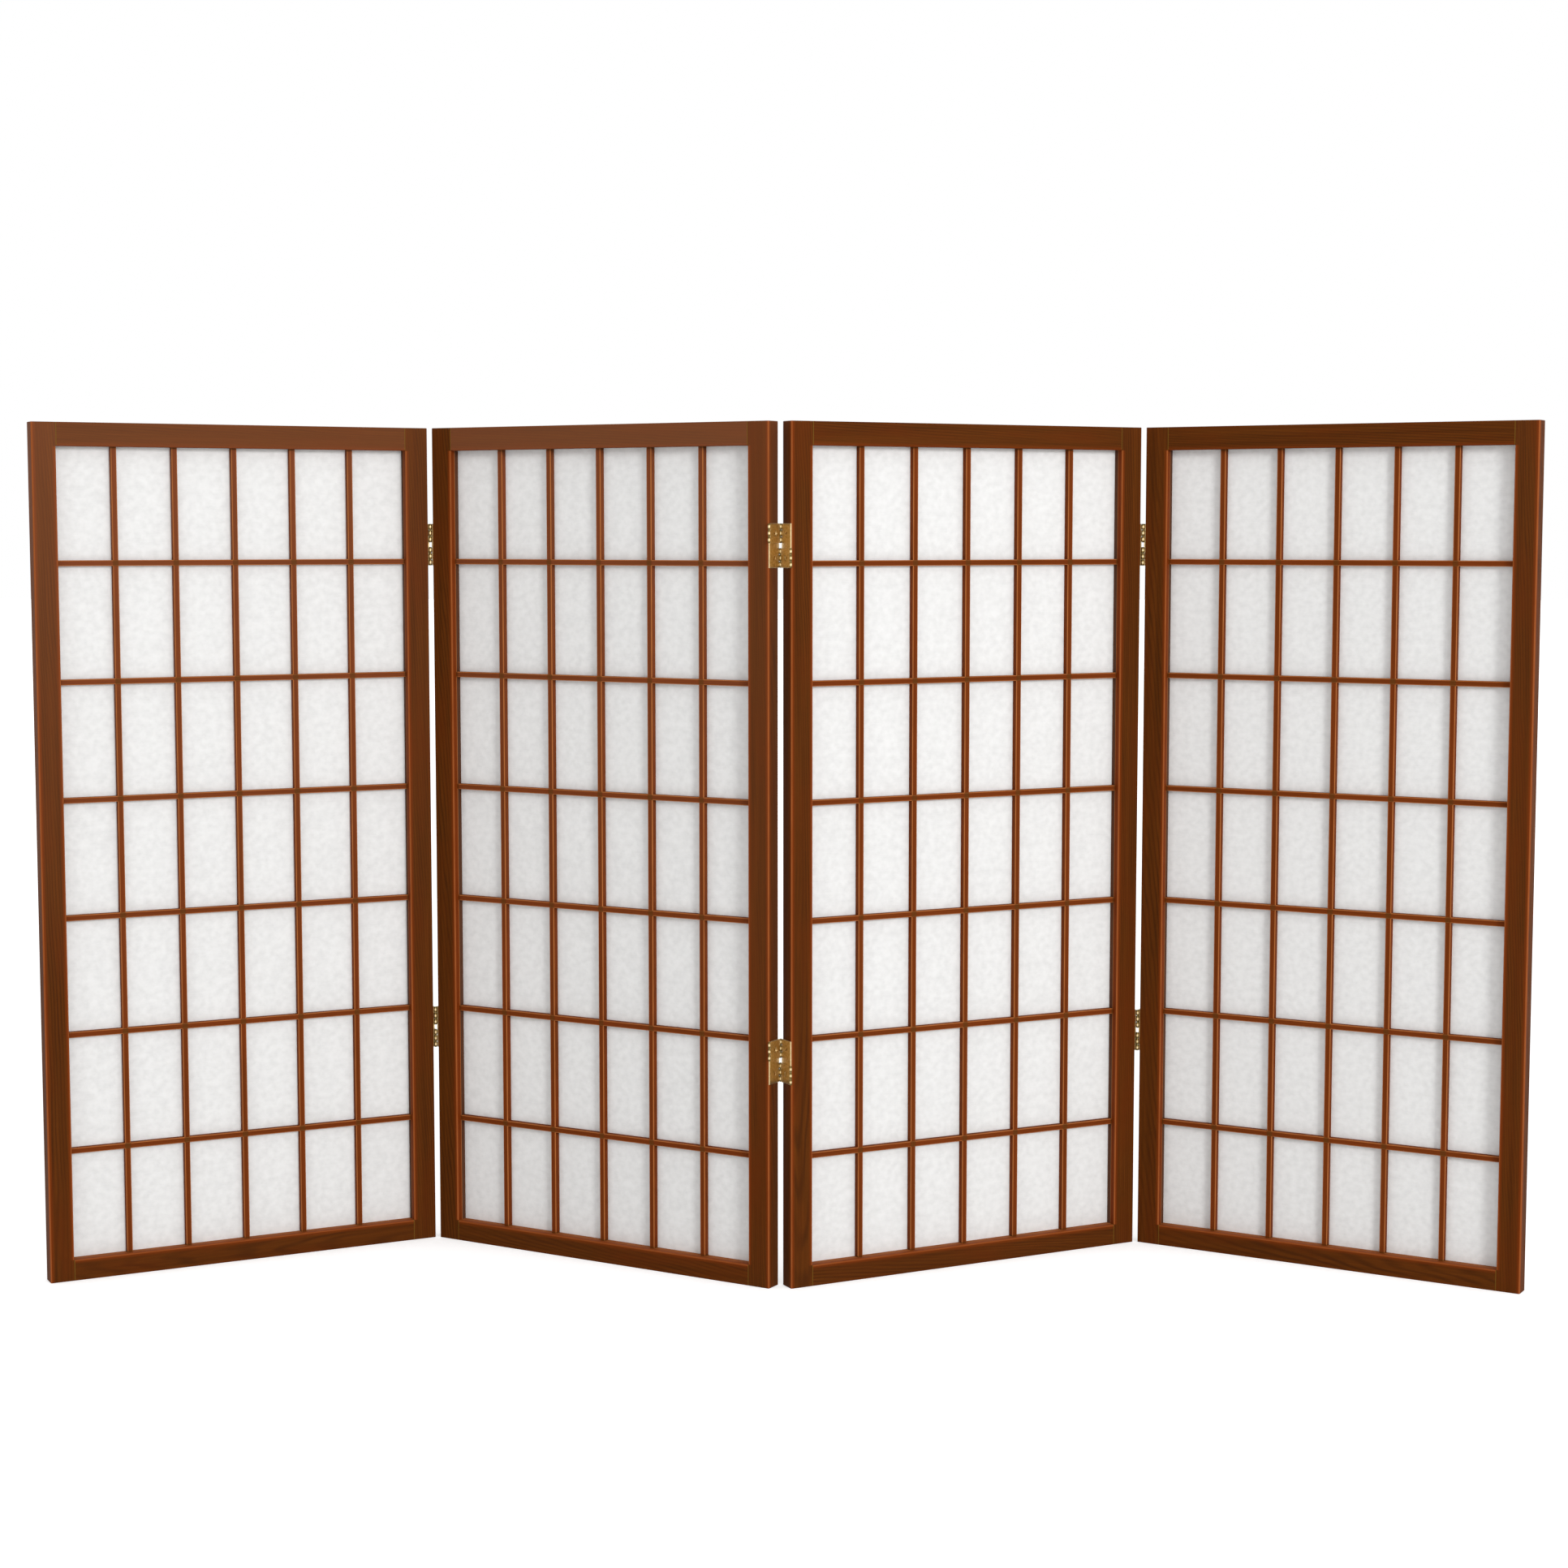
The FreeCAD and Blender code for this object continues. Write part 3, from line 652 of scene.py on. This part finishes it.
# The sheet is glued to every bar and bows a little between them: its depth is the front of the paper
# plus each cell's own bow times the sine of the way across the cell times the sine of the way up it.
def makePaper(panel):
    n, s = panel["number"], paperShape
    low, high = span(panel, f"panel_{n}_paper")
    steps = s["cellSteps"]
    uEdges = np.concatenate([[size["stile"]], size["uprights"].ravel(), [size["width"] - size["stile"]]])
    zEdges = np.concatenate([[size["bottom"]], size["levels"].ravel(), [size["top"]]])

    def rows(edges, lowest, highest):
        cells = edges.reshape(-1, 2)
        way = np.linspace(0, 1, steps + 1)
        places = (cells[:, :1] + (cells[:, 1:] - cells[:, :1]) * way).ravel()
        bows = np.tile(np.sin(math.pi * way), len(cells))
        number = np.repeat(np.arange(len(cells)), steps + 1)
        return (np.concatenate([[lowest], places, [highest]]), np.concatenate([[0], bows, [0]]),
                np.concatenate([[0], number, [len(cells) - 1]]))

    u, uBow, uCell = rows(uEdges, low[0], high[0])
    z, zBow, zCell = rows(zEdges, low[2], high[2])
    cellBow = rng.uniform(s["leastShare"], s["mostShare"], (uCell.max() + 1, zCell.max() + 1)) * s["bow"]
    bow = cellBow[np.ix_(uCell, zCell)] * np.outer(uBow, zBow)
    uGrid, zGrid = np.meshgrid(u, z, indexing="ij")
    depth = np.concatenate([(low[1] + bow).ravel(), (high[1] + bow).ravel()])
    points = outOfPanel(panel, np.tile(uGrid.ravel(), 2), depth, np.tile(zGrid.ravel(), 2))
    place = np.column_stack([np.tile(uGrid.ravel(), 2), np.tile(zGrid.ravel(), 2), depth]) + newCut()
    sheet = {"points": points, "faces": slabFaces(*uGrid.shape), "grain": place}
    piece = standIn(f"panel_{n}_paper", f"panel_{n}", [sheet], screenPaper)


for n in panelNumbers:
    makePaper(panels[n])
print("papers made")


# The hinges

hingeShape = {"leaf": 1.3 * mm, "swing": 0.8 * mm, "overhang": 0.3 * mm, "half": 20.4 * mm, "slot": 5.2 * mm,
              "knuckle": 1.44 * mm, "workingKnuckle": 1.6 * mm, "crown": 0.46 * mm, "knuckleGap": 0.25 * mm,
              "lip": 0.12 * mm, "spot": 0.27, "bore": 0.8 * mm, "rollInset": 0.2 * mm, "rollShare": 0.8,
              "pin": 0.75 * mm, "dome": 0.35 * mm, "window": 3.1 * mm, "rim": 0.5 * mm, "ease": 0.14 * mm,
              "edgeWear": 0.7 * mm, "faceWear": 0.25, "armWear": 0.3, "pinWear": 0.5, "forwardHighlight": 0.35,
              "plateSides": 48, "knuckleSides": 28, "knuckleRings": 11, "armRings": 9, "pinSides": 20,
              "domeRings": 6}
screwShape = {"head": 2.5 * mm, "depth": 1.2 * mm, "shank": 1.2 * mm, "length": 13.0 * mm,
              "clearance": 0.09 * mm, "slotWidth": 0.55 * mm, "slotDepth": 0.6 * mm, "slotShare": 0.85,
              "slotWall": 0.03 * mm, "edge": 0.02 * mm, "faceWear": 0.4, "edgeWear": 0.6, "shankSides": 16,
              "lines": 9, "firstLine": 0.12, "lineSteps": 17, "inHead": 0.9, "pointFrom": 0.7,
              "pointMiddle": 0.85, "pointWidth": 0.75}
foldPlace = {joint["name"]: joint["pos_m"] for joint in frame["joints"]}
carrierOf = {node: body for body, nodes in frame["record"]["behaviour"]["bodies"].items() for node in nodes}


# a fold's axis gives half the gap between two panels in line, and how far its pins stand off the faces
def gapSizes():
    u, d, _ = intoPanel(panels[3], np.array([foldPlace["fold_23"]]))[0]
    low, high = span(panels[3], "hinge_23_right_leaves")
    height = 2 * hingeShape["half"] + hingeShape["slot"]
    return {"half": -u, "backAxis": d, "frontAxis": size["thickness"] - d, "feet": (low[2], high[2] - height)}


gap = gapSizes()
print("gap", {k: np.round(v, 5).tolist() for k, v in gap.items()})


# Faces over a grid of points. Round it, the columns close on the first, and the rows too where asked.
def gridFaces(rows, columns, closeRows):
    index = np.arange(rows * columns).reshape(rows, columns)
    after = np.roll(index, -1, axis=1)
    quads = np.stack([index, after, np.roll(after, -1, axis=0), np.roll(index, -1, axis=0)], -1)
    return (quads if closeRows else quads[:-1]).reshape(-1, 4).tolist()


# A turned shape: each ring is its radius times the cosine and the sine of an angle, at its place along
def turnedShape(r, along, sides, closeRows):
    turn = np.linspace(0, 2 * math.pi, sides, endpoint=False)
    r = np.array(r)[:, None]
    return r * np.cos(turn), r * np.sin(turn), np.repeat(along, sides), gridFaces(len(r), sides, closeRows)


# a hinge's shell: x across the gap from its middle, d from the panel's front, z upwards, and its wear
def shellOf(x, d, z, faces, wearAndLight):
    return {"x": np.ravel(x), "d": np.ravel(d), "z": np.ravel(z), "faces": faces,
            "wearAndLight": np.ravel(np.broadcast_to(wearAndLight, np.shape(x)))}


# A plate with a round hole. At each angle round the hole, a closed section runs from the plate's eased
# edge over its face to the hole, through the hole and back over its other face. The edge is the nearest
# point of the rectangle along that angle, and an inset clamps it to a smaller rectangle.
def boredPlate(low, high, faceX, backX, centre, faceRadius, backRadius, highlitAndRubbed,
               seamLow=False, seamHigh=False):
    ease, worn = hingeShape["ease"], hingeShape["edgeWear"]
    corners = [math.atan2(z - centre[1], d - centre[0]) for d in (low[0], high[0]) for z in (low[1], high[1])]
    even = np.linspace(-math.pi, math.pi, hingeShape["plateSides"], endpoint=False)
    turn = np.unique(np.concatenate([even, corners]))
    way = np.column_stack([np.cos(turn), np.sin(turn)])
    room = np.where(way > 0, np.array(high) - centre, centre - np.array(low))
    reach = room / np.maximum(np.abs(way), tiny)
    edge = centre + way * reach.min(axis=1)[:, None]

    def clamped(inset):
        least = [low[0] + inset, low[1] + (0 if seamLow else inset)]
        most = [high[0] - inset, high[1] - (0 if seamHigh else inset)]
        return np.clip(edge, least, most)

    def hole(radius):
        return centre + way * radius

    side = np.sign(faceX - backX)
    section = [(clamped(worn), faceX, 0), (hole(faceRadius + hingeShape["rim"]), faceX, 0),
               (hole(faceRadius + ease), faceX, 1), (hole(faceRadius), faceX - side * ease, 1),
               (hole(backRadius), backX, 0),
               (clamped(worn), backX, 0), (clamped(ease), backX, 1), (clamped(0), backX + side * ease, 1),
               (clamped(0), faceX - side * ease, 1), (clamped(ease), faceX, 1)]
    place = np.stack([points for points, _, _ in section])
    x = np.repeat([depth for _, depth, _ in section], len(turn))
    wearAndLight = np.repeat([hingeShape["faceWear"] + highlitAndRubbed * w for _, _, w in section], len(turn))
    return shellOf(x, place[..., 0], place[..., 1], gridFaces(len(section), len(turn), True), wearAndLight)


# A tube round a pin, crowned so that its middle catches the light: the radius is the knuckle's less the
# crown times the fourth power of the way from its middle. Its middle has a painted highlight spot, and its ends,
# at the joints, painted shade.
def crownedKnuckle(axis, radius, low, high):
    crown, bore, lip = (hingeShape[k] for k in ("crown", "bore", "lip"))
    way = np.linspace(-1, 1, hingeShape["knuckleRings"])
    outer = radius - crown * way ** 4
    heights = (low + high) / 2 + way * ((high - low) / 2 - lip / 2)
    r = np.concatenate([[bore, outer[0] - lip], outer, [outer[-1] - lip, bore]])
    z = np.concatenate([[low, low], heights, [high, high]])
    x, d, z, faces = turnedShape(r, z, hingeShape["knuckleSides"], True)
    wearAndLight = np.concatenate([[0, 0], np.exp(-(way / hingeShape["spot"]) ** 2), [0, 0]])[:, None]
    return shellOf(x, axis + d, z, faces, wearAndLight)


# The arm between a plate's edge and its knuckle: a strip that moves over by three times the square of
# the way along less twice its cube, as the plate's edge is rolled round the pin.
def rolledArm(start, end, plate, roll, low, high):
    way = np.linspace(0, 1, hingeShape["armRings"])
    over = 3 * way ** 2 - 2 * way ** 3
    sides = [plate[k] + (roll[k] - plate[k]) * over for k in (0, 1)]
    x = np.column_stack([sides[0], sides[1], sides[1], sides[0]])
    d = np.repeat(start + (end - start) * way, 4)
    z = np.tile([low, low, high, high], len(way))
    count = x.size
    faces = gridFaces(len(way), 4, False) + [[0, 1, 2, 3], [count - 1, count - 2, count - 3, count - 4]]
    return shellOf(x, d, z, faces, hingeShape["armWear"])


# three knuckles share a half's height, with a gap between them
def knuckleSpan(halfFoot, n):
    height = (hingeShape["half"] - 2 * hingeShape["knuckleGap"]) / 3
    low = halfFoot + n * (height + hingeShape["knuckleGap"])
    return low, low + height


# The leaf on the left panel's edge: a plate in two halves, each with its countersunk hole, and a knuckle
# rolled at the front of the upper half and one at the back of the lower half. The knuckles on the fold's
# working pins are the fuller ones.
def leafShells(foot, frontRadius, backRadius, highlitAndRubbed):
    s = hingeShape
    outside, inside = -gap["half"], -gap["half"] + s["leaf"]
    edges = -s["overhang"], size["thickness"] + s["overhang"]
    middle = foot + s["half"] + s["slot"] / 2
    top = foot + 2 * s["half"] + s["slot"]
    headRadius = screwShape["head"] + screwShape["clearance"]
    neckRadius = headRadius - (screwShape["head"] - screwShape["shank"]) * s["leaf"] / screwShape["depth"]
    shells = []
    for low, high, screw, isUpper in ((foot, middle, foot + s["half"] / 2, False),
                                      (middle, top, top - s["half"] / 2, True)):
        shells.append(boredPlate((edges[0], low), (edges[1], high), inside, outside,
                                 np.array([size["thickness"] / 2, screw]), headRadius, neckRadius, highlitAndRubbed,
                                 seamLow=isUpper, seamHigh=not isUpper))
    for halfFoot, axis, edge, radius in ((top - s["half"], gap["frontAxis"], edges[0], frontRadius),
                                         (foot, gap["backAxis"], edges[1], backRadius)):
        low, high = knuckleSpan(halfFoot, 1)
        shells.append(crownedKnuckle(axis, radius, low, high))
        roll = -s["knuckle"] + s["rollInset"], -s["knuckle"] + s["leaf"] * s["rollShare"]
        shells.append(rolledArm(edge, axis, (outside, inside), roll, low, high))
    return shells


# the plate between the leaves, with a window for the screw heads and two knuckles on each pin
def swingShells(halfFoot, frontRadius, backRadius, highlitAndRubbed):
    s = hingeShape
    edges = -s["overhang"], size["thickness"] + s["overhang"]
    half = s["swing"] / 2
    centre = np.array([size["thickness"] / 2, halfFoot + s["half"] / 2])
    shells = [boredPlate((edges[0], halfFoot), (edges[1], halfFoot + s["half"]), half, -half, centre,
                         s["window"], s["window"], highlitAndRubbed)]
    for n in (0, 2):
        low, high = knuckleSpan(halfFoot, n)
        for axis, edge, radius in ((gap["frontAxis"], edges[0], frontRadius),
                                   (gap["backAxis"], edges[1], backRadius)):
            shells.append(crownedKnuckle(axis, radius, low, high))
            shells.append(rolledArm(edge, axis, (-half, half), (-half, half), low, high))
    return shells


# A round-ended pin: its radius is constant and falls to nothing over each end as a quarter circle does
def pinShell(halfFoot, axis):
    radius, dome = hingeShape["pin"], hingeShape["dome"]
    turn = np.linspace(0, math.pi / 2, hingeShape["domeRings"])
    r = np.concatenate([radius * np.sin(turn), radius * np.sin(turn[::-1])])
    rise = dome * (1 - np.cos(turn))
    z = np.concatenate([halfFoot + rise, halfFoot + hingeShape["half"] - rise[::-1]])
    x, d, z, faces = turnedShape(r, z, hingeShape["pinSides"], False)
    return shellOf(x, axis + d, z, faces, hingeShape["pinWear"])


# A slotted countersunk screw. Its head is drawn over straight lines across the disc, each as long as the
# circle allows, so that the slot's walls lie along two of them. The face is flat but for the slot, and the
# underside is a cone. The shank is a round bar that runs to a point.
def screwShells(z, slotTurn):
    s = screwShape
    faceX = -gap["half"] + hingeShape["leaf"]
    half = s["slotWidth"] / 2
    side = np.sin(np.linspace(s["firstLine"], math.pi / 2, s["lines"])) * s["head"]
    wall = half + s["slotWall"]
    lines = np.sort(np.concatenate([-side[::-1], [-wall, -half, half, wall], side]))
    across = np.sin(np.linspace(-math.pi / 2, math.pi / 2, s["lineSteps"]))
    length = np.sqrt(np.maximum(s["head"] ** 2 - lines ** 2, 0))
    p = np.repeat(lines[:, None], len(across), axis=1)
    q = length[:, None] * across
    radius = np.hypot(p, q)
    cone = (s["head"] - radius) * s["depth"] / (s["head"] - s["shank"])
    under = np.minimum(cone, s["depth"]) + s["edge"]
    inSlot = np.abs(p) < half + s["slotWall"] / 2
    sunk = np.where(inSlot, np.minimum(s["slotDepth"], under * s["slotShare"]), 0.0)
    cosine, sine = math.cos(slotTurn), math.sin(slotTurn)
    x = np.stack([faceX - sunk, faceX - under])
    d = np.stack([p * cosine - q * sine] * 2) + size["thickness"] / 2
    up = np.stack([p * sine + q * cosine] * 2) + z
    # the slot is painted dark, as shade, and the head grows paler towards its rim
    worn = s["faceWear"] + s["edgeWear"] * (radius / s["head"]) ** 4
    head = shellOf(x, d, up, slabFaces(*p.shape), np.stack([np.where(inSlot, 0.0, worn), np.zeros(p.shape)]))
    r = np.array([0, 1, 1, s["pointWidth"], 0]) * s["shank"]
    inHead, point = s["inHead"] * s["depth"], np.array([s["pointFrom"], s["pointMiddle"], 1]) * s["length"]
    reach = np.array([inHead, inHead, *point])
    across, up, x, faces = turnedShape(r, faceX - reach, s["shankSides"], False)
    return [head, shellOf(x, size["thickness"] / 2 + across, z + up, faces, 0.0)]


# Puts shells drawn about the middle of the gap onto a node's carrier. What belongs to the right panel is
# a left one turned half round.
def hingePiece(fold, kind, shells, material, turnedRound=False):
    node = f"hinge_{fold}_{kind}"
    body = carrierOf[node]
    panel = panels[int(body[-1])]
    middle = size["width"] + gap["half"] if body == f"panel_{fold[0]}" else -gap["half"]
    placed = []
    for shell in shells:
        x, d = shell["x"], shell["d"]
        if turnedRound:
            x, d = -x, size["thickness"] - d
        placed.append({"points": outOfPanel(panel, middle + x, d, shell["z"]), "faces": shell["faces"],
                       "wearAndLight": shell["wearAndLight"]})
    standIn(node, body, placed, material, sharpAngle=40)


# A fold works on its back pins where it stands forward in the screen, else on its front pins. The plates'
# edges have a painted highlight where it stands forward.
def makeHinges(fold):
    s = hingeShape
    upperStep = s["half"] + s["slot"]
    isForward = foldPlace[f"fold_{fold}"][1] < 0
    radii = (s["knuckle"], s["workingKnuckle"])[::1 if isForward else -1]
    highlitAndRubbed = s["forwardHighlight"] if isForward else 0.0
    for side in ("left", "right"):
        turned = side == "right"
        ordered = radii[::-1] if turned else radii
        leaves = [shell for foot in gap["feet"] for shell in leafShells(foot, *ordered, highlitAndRubbed)]
        hingePiece(fold, f"{side}_leaves", leaves, plateBrass, turned)
    for kind, step in (("lower", 0.0), ("upper", upperStep)):
        swings = [shell for foot in gap["feet"] for shell in swingShells(foot + step, *radii, highlitAndRubbed)]
        hingePiece(fold, f"{kind}_swing_plates", swings, plateBrass)
        pins = [pinShell(foot + step, gap[axis])
                for foot in gap["feet"] for axis in ("frontAxis", "backAxis")]
        hingePiece(fold, f"{kind}_pins", pins, plateBrass)
    for side in ("left", "right"):
        screws = [shell for foot in gap["feet"] for step in (0.0, upperStep)
                  for shell in screwShells(foot + step + s["half"] / 2, rng.uniform(0, math.pi))]
        hingePiece(fold, f"{side}_screws", screws, screwBrass, turnedRound=side == "right")


for fold in ("12", "23", "34"):
    makeHinges(fold)
print("hinges made")


# The studio

# 1 where a thing is seen, straight or in a reflection or through another, and 0 where it only lights
def seenMask(tree):
    path = add(tree, "LightPath")
    seen = path.outputs["Is Camera Ray"]
    for kind in ("Is Glossy Ray", "Is Transmission Ray"):
        seen = add(tree, "Math", {0: seen, 1: path.outputs[kind]}, operation="MAXIMUM").outputs[0]
    direct = add(tree, "Math", {0: 1.0, 1: path.outputs["Is Diffuse Ray"]}, operation="SUBTRACT").outputs[0]
    return add(tree, "Math", {0: seen, 1: direct}, operation="MULTIPLY").outputs[0]


# A wide white floor that keeps the screen's shadow. It is lifted towards white wherever it is seen, and
# more so far from the screen.
def makeFloor(look):
    half = look["size"] / 2
    mesh = bpy.data.meshes.new("studioFloor")
    corners = [(-half, -half, 0), (half, -half, 0), (half, half, 0), (-half, half, 0)]
    mesh.from_pydata(corners, [], [[0, 1, 2, 3]])
    floor = newObject("studioFloor", mesh)
    material, tree = newMaterial("paleStudioFloor")
    face = add(tree, "BsdfDiffuse", {"Color": colour(look["paint"])})
    place = add(tree, "TexCoord").outputs["Object"]
    reach = add(tree, "VectorMath", {0: place}, operation="LENGTH").outputs["Value"]
    far = add(tree, "MapRange", {"Value": reach, "From Min": look["near"], "From Max": look["far"],
                                 "To Min": look["lift"], "To Max": look["farLift"]}).outputs[0]
    lift = add(tree, "Math", {0: seenMask(tree), 1: far}, operation="MULTIPLY").outputs[0]
    glow = add(tree, "Emission", {"Color": colour("#FFFFFF"), "Strength": lift})
    both = add(tree, "AddShader", {0: face.outputs[0], 1: glow.outputs[0]})
    add(tree, "OutputMaterial", {"Surface": both.outputs[0]})
    mesh.materials.append(material)


# a white room, seen at its full strength, that fills the shadows with less
def makeWorld(look):
    world = bpy.data.worlds.new("studioWorld")
    world.use_nodes = True
    tree = world.node_tree
    tree.nodes.clear()
    strength = add(tree, "MapRange", {"Value": seenMask(tree), "To Min": look["fill"]}).outputs[0]
    sky = add(tree, "Background", {"Color": colour("#FFFFFF"), "Strength": strength})
    add(tree, "OutputWorld", {"Surface": sky.outputs[0]})
    bpy.context.scene.world = world


# a soft key light, far away to the right of the camera and a little above
def makeKey(look):
    lamp = bpy.data.lights.new("keyLight", "AREA")
    lamp.shape = "DISK"
    lamp.size = look["size"]
    lamp.energy = look["power"]
    key = newObject("keyLight", lamp)
    turn, rise = math.radians(look["turn"]), math.radians(look["rise"])
    away = np.array([math.sin(turn) * math.cos(rise), -math.cos(turn) * math.cos(rise), math.sin(rise)])
    key.location = away * look["distance"] + np.array(look["aim"])
    key.rotation_euler = (math.pi / 2 - rise, 0, turn)


# the camera stands a little to the right of the screen's middle, turned to the left and down
def makeCamera(look):
    lens = bpy.data.cameras.new("camera")
    lens.lens = look["lens"]
    lens.sensor_width = look["film"]
    camera = newObject("camera", lens)
    camera.location = look["place"]
    camera.rotation_euler = (math.radians(90 - look["down"]), 0, math.radians(look["left"]))
    bpy.context.scene.camera = camera


makeFloor({"size": 60.0, "paint": "#E7E7E7", "lift": 0.5, "farLift": 0.8, "near": 1.2, "far": 5.0})
makeWorld({"fill": 0.77})
makeKey({"turn": 32, "rise": 17, "distance": 8.0, "size": 2.1, "power": 255, "aim": (0, 0, 0.45)})
makeCamera({"lens": 64.795, "film": 36, "place": (0.08385, -3.04450, 0.80072), "down": 5.1278,
            "left": 1.5579})
bpy.context.scene.view_settings.view_transform = "Standard"
print("studio made")
